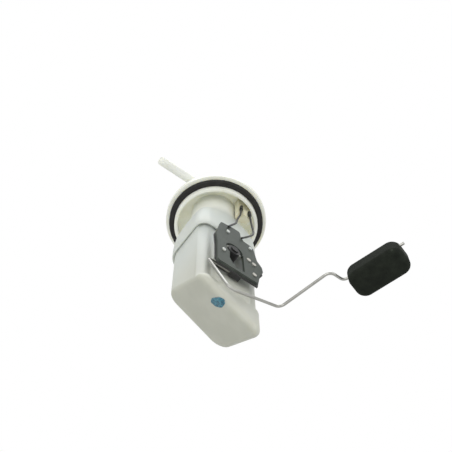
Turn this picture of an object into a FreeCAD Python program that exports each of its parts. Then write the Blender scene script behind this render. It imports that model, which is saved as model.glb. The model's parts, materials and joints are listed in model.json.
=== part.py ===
import FreeCAD, Part
import math
import os
import Sketcher

# In-tank fuel pump module with a level sender, in millimetres.
# +Z points up through the flange, +X to the float arm's side, -Y out of the sender's face.
# The origin is the centre of the flange's seating face.

V = FreeCAD.Vector
doc = FreeCAD.newDocument("fuel_pump_module")
sheet = doc.addObject("Spreadsheet::Sheet", "Sizes")

SIZES = {
    # flange and gasket
    "flange_radius": 40,
    "lip_thickness": 4,
    "crown_radius": 31,
    "crown_height": 9,
    "crown_wall": 3,
    "spigot_radius": 33,
    "spigot_wall": 2.5,
    "spigot_depth": 8,
    "gasket_width": 4.2,
    "gasket_thickness": 4,
    "gasket_gap": 0.1,
    # fuel outlet
    "nipple_radius": 3.5,
    "nipple_root_radius": 4.4,
    "nipple_tip_radius": 2.9,
    "nipple_tip_length": 1.5,
    "nipple_bore": 2.2,
    "nipple_reach": 64,
    "nipple_height": 14,
    "outlet_boss_radius": 6.5,
    "outlet_y": -12.8,
    "inner_pipe_drop": 12,
    "outlet_tube_wall": 1.1,
    "outlet_tube_play": 0.6,
    "outlet_tube_top": 8,
    "outlet_tube_bottom": 30,
    # connector
    "shroud_left": 2.5,
    "shroud_length": 14,
    "shroud_width": 7.6,
    "shroud_wall": 1.4,
    "shroud_height": 13,
    "terminal_y": -22.5,
    "terminal_width": 1.8,
    "terminal_thickness": 0.8,
    "terminal_pitch": 2.8,
    "terminal_above": 9,
    "terminal_below": 5,
    "block_depth": 20,
    "block_width": 5,
    "block_length": 11,
    # neck between the flange and the housing
    "neck_radius": 18.5,
    "neck_wall": 2,
    "neck_bottom": 24,
    "window_width": 7,
    "window_height": 4,
    "window_below": 17,
    "snap_play": 0.2,
    # housing
    "body_length": 49,
    "body_width": 41,
    "body_wall": 2,
    "front_corner": 7,
    "back_corner": 10,
    "cap_wall": 1.8,
    "cap_play": 0.1,
    "cap_bottom": 47,
    "cap_top_thickness": 2.2,
    "cap_shoulder": 4,
    "reservoir_top": 30,
    "reservoir_bottom": 190,
    "sole_depth": 142.8,
    "sole_slope_right": 0.6,
    "sole_slope_back": 0.79,
    "sole_round": 3.5,
    "toe_reach": 3,
    "boss_inside": 1.2,
    "toe_top": 143.7,
    "toe_top_slope": 0.19,
    "inlet_slot_height": 3,
    # pump
    "pump_x": -3,
    "pump_y": -1.5,
    "can_radius": 17,
    "can_wall": 0.8,
    "can_top": 38,
    "can_bottom": 98,
    "can_fit": 0.05,
    "end_cap_top": 34,
    "end_cap_bottom": 46,
    "chamber_top": 91,
    "chamber_bottom": 95,
    "inlet_plate_bottom": 103,
    "impeller_radius": 13,
    "impeller_thickness": 3,
    "impeller_play": 0.3,
    "vane_count": 24,
    "shaft_radius": 1.5,
    "bearing_play": 0.05,
    "shaft_top": 44,
    "shaft_bottom": 101,
    "core_radius": 10.5,
    "core_top": 58,
    "core_bottom": 84,
    "core_slots": 8,
    "core_slot_width": 2.4,
    "core_slot_depth": 4,
    "commutator_radius": 6,
    "commutator_top": 51,
    "commutator_bottom": 56,
    "magnet_thickness": 3.4,
    "magnet_arc": 130,
    "brush_side": 3,
    "brush_play": 0.3,
    "damper_top": 62,
    "damper_height": 5,
    "inlet_stub_radius": 4,
    "inlet_stub_length": 6,
    # strainer
    "strainer_side_gap": 1.5,
    "strainer_front_gap": 3,
    "strainer_length": 28,
    "strainer_width": 22,
    "strainer_height": 7,
    "strainer_top": 112,
    "strainer_rim": 1.6,
    # check valve
    "valve_bore": 2.6,
    "check_radius": 2.2,
    "check_lift": 1.2,
    "spring_wire": 0.35,
    # regulator
    "regulator_y": 6,
    "regulator_radius": 6.5,
    "regulator_top": 2,
    "regulator_socket_drop": 8,
    "regulator_bottom": 19,
    "regulator_wall": 0.8,
    "regulator_seal": 1.2,
    # sender
    "post_radius": 2.2,
    "stake_radius": 1.2,
    "stake_head": 2.0,
    "stake_head_height": 0.9,
    "plate_standoff": 7,
    "plate_thickness": 2,
    "pivot_x": -5.5,
    "pivot_z": -99,
    "pivot_radius": 1.5,
    "hub_radius": 5,
    "hub_window": 7,
    "lever_play": 1,
    "frame_thickness": 1.1,
    "lever_thickness": 2.4,
    "lever_width": 7,
    "lever_drop": 19.4,
    "holder_thickness": 4.6,
    "holder_side": 8,
    "holder_shift": 4.5,
    "wiper_reach": 12,
    "wiper_drop": 12,
    "card_thickness": 1,
    "card_left": 4,
    "card_right": 12.8,
    "card_top": 97.5,
    "card_bottom": 119,
    "rivet_radius": 1.1,
    "rivet_head": 0.6,
    # float arm
    "wire_radius": 1,
    "wire_bend": 5,
    "wire_hairpin": 2,
    "wire_depth": 1.6,
    "wire_clear": 4,
    "wire_start_reach": 8,
    "wire_start_drop": 20.6,
    "hairpin_reach": 17,
    "hairpin_drop": 19.8,
    "low_bend_reach": 5.7,
    "low_bend_drop": 58.7,
    "elbow_reach": 34.8,
    "elbow_drop": 43.4,
    "outer_run": 11.2,
    "float_offset": 40.1,
    "offset_slant": 0.232,
    "float_slant": 0.305,
    "float_length": 39,
    "float_width": 21,
    "float_height": 13,
    "float_corner": 7,
    "float_edge": 3,
    "float_shift": 4.5,
    "float_sink": 3,
    "float_play": 0.06,
    "float_from_bend": 3.4,
    "wire_tip": 2.8,
    # leads
    "lead_radius": 0.8,
    "crimp_radius": 1.3,
    "crimp_length": 6,
}

ROW = 1
for alias, amount in SIZES.items():
    sheet.set("A%d" % ROW, alias)
    sheet.set("B%d" % ROW, str(amount))
    sheet.setAlias("B%d" % ROW, alias)
    ROW += 1
doc.recompute()


class Size:
    """A length worked out from the sheet, with the expression that gives it."""

    def __init__(self, value, text):
        self.value = float(value)
        self.text = text

    def __add__(self, other):
        return Size(self.value + number(other), "(%s + %s)" % (self.text, text_of(other)))

    def __sub__(self, other):
        return Size(self.value - number(other), "(%s - %s)" % (self.text, text_of(other)))

    def __mul__(self, other):
        return Size(self.value * number(other), "(%s * %s)" % (self.text, text_of(other)))

    def __truediv__(self, other):
        return Size(self.value / number(other), "(%s / %s)" % (self.text, text_of(other)))

    def __neg__(self):
        return Size(-self.value, "(0 - %s)" % self.text)

    def __radd__(self, other):
        return self + other

    def __rmul__(self, other):
        return self * other

    def __rsub__(self, other):
        return Size(other - self.value, "(%s - %s)" % (text_of(other), self.text))

    def __float__(self):
        return self.value


def number(amount):
    """The value of a Size or of a plain number."""
    return amount.value if isinstance(amount, Size) else float(amount)


def text_of(amount):
    """The expression of a Size, or a plain number as text."""
    return amount.text if isinstance(amount, Size) else "(%r)" % float(amount)


class Sheet:
    """Reads each named cell of the sheet as a Size."""

    def __getattr__(self, alias):
        return Size(sheet.get(alias), "Sizes." + alias)


S = Sheet()


def least(first, second):
    """The smaller of two Sizes."""
    return Size(min(first.value, second.value), "min(%s; %s)" % (first.text, second.text))


WALL_FRONT = S.body_width / 2 - S.pump_y
PLATE_BACK = WALL_FRONT + S.plate_standoff
LEVER_BACK = WALL_FRONT + S.lever_play
WIRE_BACK = LEVER_BACK + S.wire_depth
WIRE_FRONT = PLATE_BACK + S.wire_clear
DAMPER_RADIUS = least(S.body_length, S.body_width) / 2 - S.body_wall
STRAINER_X = S.pump_x + S.body_length / 2 - S.body_wall - S.strainer_side_gap - S.strainer_length / 2
STRAINER_Y = S.body_wall + S.strainer_front_gap + S.strainer_width / 2 - WALL_FRONT


def bind(obj, prop, amount):
    """Sets a property to an amount and ties it to the sheet."""
    setattr(obj, prop, number(amount))
    if isinstance(amount, Size):
        obj.setExpression(prop, amount.text)


def place(obj, x=0, y=0, z=0, turn=None):
    """Places an object at bound coordinates, turned by a fixed rotation."""
    rotation = turn or FreeCAD.Rotation()
    obj.Placement = FreeCAD.Placement(V(number(x), number(y), number(z)), rotation)
    for letter, amount in (("x", x), ("y", y), ("z", z)):
        if isinstance(amount, Size):
            obj.setExpression("Placement.Base." + letter, amount.text)
    return obj


TO_FRONT = FreeCAD.Rotation(V(1, 0, 0), 90)
TO_LEFT = FreeCAD.Rotation(V(0, 1, 0), -90)


def cylinder(name, radius, height, x=0, y=0, z=0, turn=None):
    """A cylinder from a base centre, up Z unless it is turned."""
    obj = doc.addObject("Part::Cylinder", name)
    bind(obj, "Radius", radius)
    bind(obj, "Height", height)
    return place(obj, x, y, z, turn)


def cone(name, radius_low, radius_high, height, x=0, y=0, z=0, turn=None):
    """A cone frustum from a base centre."""
    obj = doc.addObject("Part::Cone", name)
    bind(obj, "Radius1", radius_low)
    bind(obj, "Radius2", radius_high)
    bind(obj, "Height", height)
    return place(obj, x, y, z, turn)


def box(name, length, width, height, x=0, y=0, z=0, turn=None):
    """A box from its lowest corner."""
    obj = doc.addObject("Part::Box", name)
    bind(obj, "Length", length)
    bind(obj, "Width", width)
    bind(obj, "Height", height)
    return place(obj, x, y, z, turn)


def middle_box(name, length, width, height, x, y, z):
    """A box centred on x and y, from z up."""
    return box(name, length, width, height, x - length / 2, y - width / 2, z)


def cut(name, base, *tools):
    """The base without the tools."""
    obj = doc.addObject("Part::Cut", name)
    obj.Base = base
    obj.Tool = tools[0] if len(tools) == 1 else fuse(name + "_tools", *tools)
    return obj


def fuse(name, *pieces):
    """One solid of several."""
    obj = doc.addObject("Part::MultiFuse", name)
    obj.Shapes = list(pieces)
    obj.Refine = True
    return obj


def common(name, *pieces):
    """What several solids share."""
    obj = doc.addObject("Part::MultiCommon", name)
    obj.Shapes = list(pieces)
    return obj


def group(name, *pieces):
    """Separate like solids in one node."""
    obj = doc.addObject("Part::Compound", name)
    obj.Links = list(pieces)
    return obj


def tube(name, outer, inner, height, x=0, y=0, z=0):
    """A straight tube up Z."""
    return cut(name, cylinder(name + "_outside", outer, height, x, y, z),
               cylinder(name + "_bore", inner, height, x, y, z))


def rounded(name, base, radius, chosen):
    """A fillet on each edge of the base that the test chooses."""
    return rounded_by(name, base, lambda edge: radius if chosen(edge) else 0)


def rounded_by(name, base, radius_of):
    """A fillet whose radius on each edge is what radius_of says, or none."""
    doc.recompute()
    obj = doc.addObject("Part::Fillet", name)
    obj.Base = base
    radii = [number(radius_of(edge)) for edge in base.Shape.Edges]
    obj.Edges = [(i + 1, radius, radius) for i, radius in enumerate(radii) if radius > 0]
    return obj


def feature(name, shape):
    """A piece whose shape comes from the modelling kernel's own functions."""
    obj = doc.addObject("Part::Feature", name)
    obj.Shape = shape
    return obj


def is_vertical(edge):
    """Whether an edge is straight and runs along Z."""
    if not isinstance(edge.Curve, Part.Line):
        return False
    return abs(abs(edge.tangentAt(edge.FirstParameter).z) - 1) < 1e-6


def new_body(name):
    """An empty body for sketches and features."""
    return doc.addObject("PartDesign::Body", name)


def sketch_on(body, name, role, offset=0):
    """A sketch on one of the body's own planes, moved along the plane's normal."""
    sketch = body.newObject("Sketcher::SketchObject", name)
    support = [p for p in body.Origin.OriginFeatures if p.Role == role][0]
    sketch.AttachmentSupport = [(support, "")]
    sketch.MapMode = "FlatFace"
    sketch.AttachmentOffset = FreeCAD.Placement(V(0, 0, number(offset)), FreeCAD.Rotation())
    if isinstance(offset, Size):
        sketch.setExpression("AttachmentOffset.Base.z", offset.text)
    return sketch


def tie_point(sketch, geometry, point, x, y):
    """Ties a point of the sketch to bound coordinates."""
    for kind, amount in (("DistanceX", x), ("DistanceY", y)):
        index = sketch.addConstraint(
            Sketcher.Constraint(kind, -1, 1, geometry, point, number(amount)))
        if isinstance(amount, Size):
            sketch.setExpression("Constraints[%d]" % index, amount.text)


def polygon(sketch, points):
    """A closed outline through bound points."""
    first = sketch.GeometryCount
    count = len(points)
    for i, (x, y) in enumerate(points):
        to_x, to_y = points[(i + 1) % count]
        sketch.addGeometry(
            Part.LineSegment(V(number(x), number(y), 0), V(number(to_x), number(to_y), 0)), False)
    for i in range(count):
        sketch.addConstraint(
            Sketcher.Constraint("Coincident", first + i, 2, first + (i + 1) % count, 1))
    for i, (x, y) in enumerate(points):
        tie_point(sketch, first + i, 1, x, y)


def circle(sketch, x, y, radius):
    """A circle with a bound centre and radius."""
    centre = V(number(x), number(y), 0)
    index = sketch.addGeometry(Part.Circle(centre, V(0, 0, 1), number(radius)), False)
    tie_point(sketch, index, 3, x, y)
    tied = sketch.addConstraint(Sketcher.Constraint("Radius", index, number(radius)))
    if isinstance(radius, Size):
        sketch.setExpression("Constraints[%d]" % tied, radius.text)


def revolved(name, points):
    """A body turned about Z from an outline of radii and heights."""
    body = new_body(name)
    sketch = sketch_on(body, name + "_profile", "XZ_Plane")
    polygon(sketch, points)
    turn = body.newObject("PartDesign::Revolution", name + "_turn")
    turn.Profile = sketch
    turn.ReferenceAxis = (sketch, ["V_Axis"])
    turn.Angle = 360
    sketch.Visibility = False
    return body


def pad(body, name, sketch, length):
    """A pad along the sketch's normal."""
    obj = body.newObject("PartDesign::Pad", name)
    obj.Profile = sketch
    bind(obj, "Length", length)
    return obj


def bent_wire(points, bends, radius):
    """A round wire of straight runs joined by tangent bends."""
    pieces = []
    start = points[0]
    for i in range(1, len(points) - 1):
        corner = points[i]
        back = (points[i - 1] - corner).normalize()
        ahead = (points[i + 1] - corner).normalize()
        turn = math.pi - back.getAngle(ahead)
        reach = bends[i - 1] * math.tan(turn / 2)
        enter = corner + back * reach
        centre = corner + (back + ahead).normalize() * (bends[i - 1] / math.cos(turn / 2))
        pieces.append(Part.makeCylinder(radius, (enter - start).Length, start, enter - start))
        disc = Part.Face(Part.Wire([Part.Circle(enter, back, radius).toShape()]))
        pieces.append(disc.revolve(centre, ahead.cross(back), math.degrees(turn)))
        start = corner + ahead * reach
    pieces.append(Part.makeCylinder(radius, (points[-1] - start).Length, start, points[-1] - start))
    return pieces[0].multiFuse(pieces[1:]).removeSplitter()


def coil(name, radius, wire, top, bottom, turns, x, y):
    """A compression spring up Z, with a four-sided section."""
    side = number(wire)
    height = number(bottom) - number(top) - 2 * side
    helix = Part.makeHelix(height / turns, height, number(radius))
    corners = ((side, 0), (0, side), (-side, 0), (0, -side), (side, 0))
    ring = [V(number(radius) + outward, 0, up) for outward, up in corners]
    solid = Part.Wire(helix.Edges).makePipeShell([Part.makePolygon(ring)], True, True)
    solid.translate(V(number(x), number(y), -number(bottom) + number(wire)))
    return feature(name, solid)


def make_flange():
    """The flange: a turned crown, lip and spigot, the neck, the hose nipple and the connector shroud."""
    crown_inner = S.crown_radius - S.crown_wall / 2
    turned = revolved("flange_disc", [
        (0, S.crown_height - S.crown_wall),
        (crown_inner, S.crown_height - S.crown_wall),
        (S.spigot_radius - S.spigot_wall, S.lip_thickness),
        (S.spigot_radius - S.spigot_wall, -S.spigot_depth),
        (S.spigot_radius, -S.spigot_depth),
        (S.spigot_radius, 0),
        (S.flange_radius, 0),
        (S.flange_radius, S.lip_thickness),
        (S.crown_radius + 1, S.lip_thickness),
        (S.crown_radius, S.crown_height),
        (0, S.crown_height),
    ])
    ceiling = S.crown_height - S.crown_wall
    neck = tube("flange_neck", S.neck_radius, S.neck_radius - S.neck_wall,
                ceiling + S.neck_bottom, S.pump_x, S.pump_y, -S.neck_bottom)
    boss = cylinder("outlet_boss", S.outlet_boss_radius, S.nipple_height + S.nipple_root_radius
                    - S.crown_height + 1, S.pump_x, S.outlet_y, S.crown_height - 1)
    root = cone("nipple_root", S.nipple_root_radius, S.nipple_radius, S.nipple_reach / 2,
                S.pump_x, S.outlet_y, S.nipple_height, TO_LEFT)
    stem = cylinder("nipple_stem", S.nipple_radius, S.nipple_reach + S.pump_x - S.nipple_tip_length,
                    S.pump_x, S.outlet_y, S.nipple_height, TO_LEFT)
    tip = cone("nipple_tip", S.nipple_radius, S.nipple_tip_radius, S.nipple_tip_length,
               S.nipple_tip_length - S.nipple_reach, S.outlet_y, S.nipple_height, TO_LEFT)
    pipe = cylinder("inner_pipe", S.nipple_radius, S.inner_pipe_drop + S.crown_height - 1,
                    S.pump_x, S.outlet_y, -S.inner_pipe_drop)
    seat = tube("regulator_socket", S.regulator_radius + 1.5, S.regulator_radius + S.regulator_seal / 2,
                ceiling + S.regulator_socket_drop, S.pump_x, S.regulator_y, -S.regulator_socket_drop)
    shroud = box("shroud_outside", S.shroud_length, S.shroud_width, S.shroud_height,
                 S.shroud_left, S.terminal_y - S.shroud_width / 2, S.crown_height - 1)
    solid = fuse("flange_solid", turned, neck, boss, root, stem, tip, pipe, seat, shroud)
    inside = box("shroud_inside", S.shroud_length - S.shroud_wall * 2, S.shroud_width - S.shroud_wall * 2,
                 S.shroud_height, S.shroud_left + S.shroud_wall,
                 S.terminal_y - S.shroud_width / 2 + S.shroud_wall, S.crown_height + 0.5)
    across = cylinder("nipple_bore", S.nipple_bore, S.nipple_reach + S.pump_x + 1,
                      S.pump_x, S.outlet_y, S.nipple_height, TO_LEFT)
    down = cylinder("outlet_bore", S.nipple_bore, S.inner_pipe_drop + S.nipple_height + 1,
                    S.pump_x, S.outlet_y, -S.inner_pipe_drop - 1)
    windows = box("snap_windows", S.neck_radius * 2 + 4, S.window_width, S.window_height,
                  S.pump_x - S.neck_radius - 2, S.pump_y - S.window_width / 2, -S.window_below - S.window_height)
    slots = [
        box("terminal_slot_%d" % i, S.terminal_width, S.terminal_thickness, S.crown_height + 4,
            terminal_x(i) - S.terminal_width / 2, S.terminal_y - S.terminal_thickness / 2, 0)
        for i in range(4)
    ]
    return cut("flange", solid, inside, across, down, windows, *slots)


def terminal_x(i):
    """Where terminal i stands along the connector."""
    return S.shroud_left + S.shroud_length / 2 + S.terminal_pitch * (i - 1.5)


def make_terminals():
    """Four blades through the flange, into the connector and the terminal block."""
    blades = [
        box("terminal_%d" % i, S.terminal_width, S.terminal_thickness,
            S.terminal_above + S.crown_height + S.terminal_below,
            terminal_x(i) - S.terminal_width / 2, S.terminal_y - S.terminal_thickness / 2,
            -S.terminal_below)
        for i in range(4)
    ]
    return group("connector_terminals", *blades)


def make_terminal_block():
    """The nylon plug that takes the leads under the flange."""
    left = S.shroud_left + S.shroud_length / 2 - S.block_length / 2
    top = S.crown_height - S.crown_wall
    outside = box("block_outside", S.block_length, S.block_width, S.block_depth + top,
                  left, S.terminal_y - S.block_width / 2, -S.block_depth)
    step = box("block_step", S.block_length / 3, S.block_width + 2, S.block_depth / 2,
               left + S.block_length / 3, S.terminal_y - S.block_width / 2 - 1, -S.block_depth)
    pockets = [
        box("block_pocket_%d" % i, S.terminal_width + 0.2, S.terminal_thickness + 0.2,
            S.terminal_below + top + 0.2, terminal_x(i) - S.terminal_width / 2 - 0.1,
            S.terminal_y - S.terminal_thickness / 2 - 0.1, -S.terminal_below - 0.1)
        for i in range(4)
    ]
    return cut("terminal_block", fuse("block_solid", outside, step), *pockets)


def make_gasket():
    """The rubber ring on the spigot, under the lip."""
    inner = S.spigot_radius + S.gasket_gap
    outer = inner + S.gasket_width
    middle = S.gasket_thickness / 2
    return revolved("flange_gasket", [
        (inner, 0),
        (outer - 0.6, 0),
        (outer, -0.6),
        (outer - 0.5, -middle),
        (outer, -S.gasket_thickness + 0.6),
        (outer - 0.6, -S.gasket_thickness),
        (inner, -S.gasket_thickness),
    ])


def section(name, inset, bottom, top):
    """The housing's rounded section as a prism, with its walls moved in by inset."""
    length = S.body_length - inset * 2
    width = S.body_width - inset * 2
    prism = middle_box(name + "_block", length, width, top - bottom, S.pump_x, S.pump_y, bottom)
    front = rounded(name + "_front", prism, S.front_corner - inset,
                    lambda edge: is_vertical(edge) and edge.CenterOfMass.y < 0)
    return rounded(name + "_corners", front, S.back_corner - inset,
                   lambda edge: is_vertical(edge) and edge.CenterOfMass.y > number(S.pump_y + width / 2) - 0.5)


def tilted_slab(name, depth, slope_right, slope_back, side, height):
    """A slab whose top lies on the plane at depth under the axis, deeper to the right and forward."""
    normal = V(slope_right, -slope_back, 1).normalize()
    turn = FreeCAD.Rotation(V(0, 0, 1), normal)
    obj = doc.addObject("Part::Box", name)
    obj.Length = side
    obj.Width = side
    obj.Height = height
    corner = turn.multVec(V(-side / 2, -side / 2, -height))
    obj.Placement = FreeCAD.Placement(V(0, 0, -depth) + corner, turn)
    return obj


def lies_on(edge, depth, slope_right, slope_back):
    """Whether an edge lies in the plane at depth under the axis."""
    for vertex in edge.Vertexes:
        point = vertex.Point
        if abs(point.z + depth + slope_right * point.x - slope_back * point.y) > 1e-3:
            return False
    return True


def reservoir_solid(name, inset):
    """The leg, toe and slanted sole as one solid, with its walls moved in by inset."""
    right = number(S.sole_slope_right)
    back = number(S.sole_slope_back)
    steepness = math.sqrt(1 + right * right + back * back)
    depth = number(S.sole_depth) - number(inset) * steepness
    length = S.body_length - inset * 2
    block = box(name + "_block", length, S.body_width + S.toe_reach - inset * 2,
                S.reservoir_bottom - S.reservoir_top, S.pump_x - length / 2, inset - WALL_FRONT - S.toe_reach,
                -S.reservoir_bottom)
    ground = tilted_slab(name + "_ground", depth, right, back, 200, 120)
    boot = cut(name + "_boot", block, ground)

    def edge_radius(edge):
        if is_vertical(edge):
            return S.front_corner - inset if edge.CenterOfMass.y < number(S.pump_y) else S.back_corner - inset
        return S.sole_round - inset if lies_on(edge, depth, right, back) else 0

    round_boot = rounded_by(name + "_round", boot, edge_radius)
    ledge = number(S.toe_top) + number(inset)
    below = tilted_slab(name + "_below_ledge", ledge, number(S.toe_top_slope), 0, 120, 80)
    toe = common(name + "_toe", round_boot, below)
    leg = section(name + "_section", inset, -S.reservoir_bottom, -S.reservoir_top)
    return fuse(name, toe, common(name + "_leg", leg, round_boot))


def make_reservoir():
    """The reservoir shell with its inlet slots, sender posts and pivot boss."""
    outside = reservoir_solid("reservoir_outer", Size(0, "0"))
    inside = reservoir_solid("reservoir_inner", S.body_wall)
    mouth = section("reservoir_mouth", S.body_wall, -S.reservoir_top - 4, -S.reservoir_top + 1)
    wall_front = -WALL_FRONT
    posts = []
    for i, (x, z) in enumerate(POSTS):
        posts.append(cylinder("post_%d" % i, S.post_radius, PLATE_BACK - WALL_FRONT + S.body_wall / 2,
                              x, wall_front + S.body_wall / 2, z, TO_FRONT))
        posts.append(cylinder("stake_%d" % i, S.stake_radius, S.plate_thickness + 0.2,
                              x, -PLATE_BACK, z, TO_FRONT))
        posts.append(cylinder("stake_head_%d" % i, S.stake_head, S.stake_head_height,
                              x, -PLATE_BACK - S.plate_thickness, z, TO_FRONT))
    boss = cylinder("pivot_boss", S.pivot_radius + 2, S.body_wall + S.boss_inside, S.pivot_x,
                    wall_front + S.body_wall + S.boss_inside, S.pivot_z, TO_FRONT)
    shell = cut("reservoir_shell", outside, inside, mouth)
    solid = fuse("reservoir_solid", shell, boss, *posts)
    slots = []
    for i, (left, right, z) in enumerate(INLET_SLOTS):
        slots.append(box("inlet_slot_%d" % i, right - left, S.body_wall + 2, S.inlet_slot_height,
                         left, wall_front - 1, z))
    hole = cylinder("pivot_hole", S.pivot_radius, S.body_wall + 4, S.pivot_x,
                    wall_front + S.body_wall + 3, S.pivot_z, TO_FRONT)
    return cut("reservoir", solid, hole, *slots)


POSTS = [(-11, -78), (8.3, -82.5), (-14.5, -108)]
INLET_SLOTS = [(-19, -13, -138.5), (-8, 2.5, -140), (5.5, 12.5, -142.5)]


def make_cap():
    """The housing cap: a rounded lid over the reservoir's mouth, with a collar and two snaps in the neck."""
    grow = S.cap_wall + S.cap_play
    top = -S.neck_bottom
    length = S.body_length + grow * 2
    width = S.body_width + grow * 2
    block = middle_box("cap_block", length, width, S.cap_bottom - S.neck_bottom,
                       S.pump_x, S.pump_y, -S.cap_bottom)
    front = rounded("cap_front", block, S.front_corner + grow,
                    lambda edge: is_vertical(edge) and edge.CenterOfMass.y < 0)
    corners = rounded("cap_corners", front, S.back_corner + grow,
                      lambda edge: is_vertical(edge) and edge.CenterOfMass.y > number(S.pump_y + width / 2) - 0.5)
    height = number(top)
    shoulder = rounded("cap_shoulder", corners, S.cap_shoulder,
                       lambda edge: all(abs(v.Point.z - height) < 1e-6 for v in edge.Vertexes))
    cavity = section("cap_cavity", -S.cap_play, -S.cap_bottom - 1, -S.neck_bottom - S.cap_top_thickness)
    collar_outer = S.neck_radius - S.neck_wall - S.snap_play
    collar_inner = collar_outer - 1.6
    collar = cylinder("cap_collar", collar_outer, S.neck_bottom - S.window_below - S.window_height - 1,
                      S.pump_x, S.pump_y, -S.neck_bottom)
    snaps = [
        box("cap_snap_%d" % i, 3.2, S.window_width - 1, S.neck_bottom - S.window_below - 0.6,
            S.pump_x + side * (collar_outer + 0.6) - 1.6, S.pump_y - (S.window_width - 1) / 2,
            -S.neck_bottom)
        for i, side in enumerate((-1, 1))
    ]
    slim = cylinder("snap_trim", collar_outer, S.neck_bottom, S.pump_x, S.pump_y, -S.neck_bottom)
    hooks = common("cap_hooks", fuse("cap_snaps", *snaps), slim)
    noses = [
        box("cap_nose_%d" % i, 2.4, S.window_width - 1.4, S.window_height - 1,
            S.pump_x + side * (collar_outer + 0.2) - 1.2, S.pump_y - (S.window_width - 1.4) / 2,
            -S.window_below - S.window_height + 0.4)
        for i, side in enumerate((-1, 1))
    ]
    solid = fuse("cap_solid", cut("cap_shell", shoulder, cavity), collar, hooks, *noses)
    hole = cylinder("cap_hole", collar_inner, S.cap_bottom, S.pump_x, S.pump_y, -S.cap_bottom)
    notch = cylinder("outlet_notch", S.nipple_radius + S.outlet_tube_wall + S.outlet_tube_play,
                     S.cap_bottom, S.pump_x, S.outlet_y, -S.cap_bottom)
    return cut("housing_cap", solid, hole, notch)


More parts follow.
